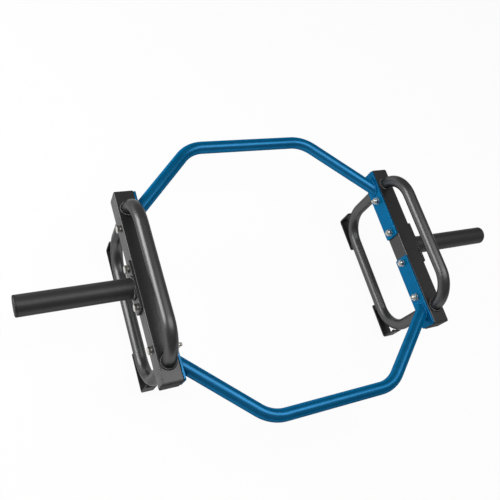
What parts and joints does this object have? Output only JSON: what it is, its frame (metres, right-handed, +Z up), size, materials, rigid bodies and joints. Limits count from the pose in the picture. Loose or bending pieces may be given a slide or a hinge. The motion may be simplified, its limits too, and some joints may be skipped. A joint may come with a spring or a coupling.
{
  "type": "hex trap bar",
  "caption": "Six-sided lifting frame to stand inside, with raised and lowered grips on two square side beams and a sleeve for weight plates on each side.",
  "frame": {"origin": "on the floor under the middle of the bar, midway between the sleeves and between the front and rear tubes", "axes": "+X along the sleeves to the right, +Y to the rear, +Z up"},
  "size_m": [1.37, 0.776, 0.3385],
  "materials": {
    "beam_coat": "charcoal powder coat, satin",
    "grip_coat": "charcoal powder coat, satin",
    "foot_coat": "near-black powder coat, matt",
    "sleeve_coat": "near-black coat, matt",
    "frame_paint": "gloss blue paint",
    "fastener_zinc": "bright zinc plating",
    "plug_plastic": "moulded, fine grain"
  },
  "bodies": {
    "root": {"side_beam_left": "beam_coat", "side_beam_right": "beam_coat", "beam_plug_left_front": "plug_plastic", "beam_plug_left_rear": "plug_plastic", "beam_plug_right_front": "plug_plastic", "beam_plug_right_rear": "plug_plastic", "raised_grip_left": "grip_coat", "raised_grip_right": "grip_coat", "lower_grip_left": "grip_coat", "lower_grip_right": "grip_coat", "foot_left_front": "foot_coat", "foot_left_rear": "foot_coat", "foot_right_front": "foot_coat", "foot_right_rear": "foot_coat", "sleeve_left": "sleeve_coat", "sleeve_right": "sleeve_coat", "sleeve_flange_left": "beam_coat", "sleeve_flange_right": "beam_coat", "sleeve_plug_left": "plug_plastic", "sleeve_plug_right": "plug_plastic", "frame_tube_front": "frame_paint", "frame_tube_rear": "frame_paint", "bracket_left_front": "frame_paint", "bracket_left_rear": "frame_paint", "bracket_right_front": "frame_paint", "bracket_right_rear": "frame_paint", "bolts_left": "fastener_zinc", "bolts_right": "fastener_zinc", "outer_washers_left": "fastener_zinc", "outer_washers_right": "fastener_zinc", "inner_washers_left": "fastener_zinc", "inner_washers_right": "fastener_zinc", "nuts_left": "fastener_zinc", "nuts_right": "fastener_zinc", "raised_grip_welds_left": "beam_coat", "raised_grip_welds_right": "beam_coat", "lower_grip_welds_left": "beam_coat", "lower_grip_welds_right": "beam_coat", "foot_welds_left": "beam_coat", "foot_welds_right": "beam_coat", "sleeve_weld_left": "beam_coat", "sleeve_weld_right": "beam_coat", "frame_welds_front": "frame_paint", "frame_welds_rear": "frame_paint"}
  },
  "joints": []
}
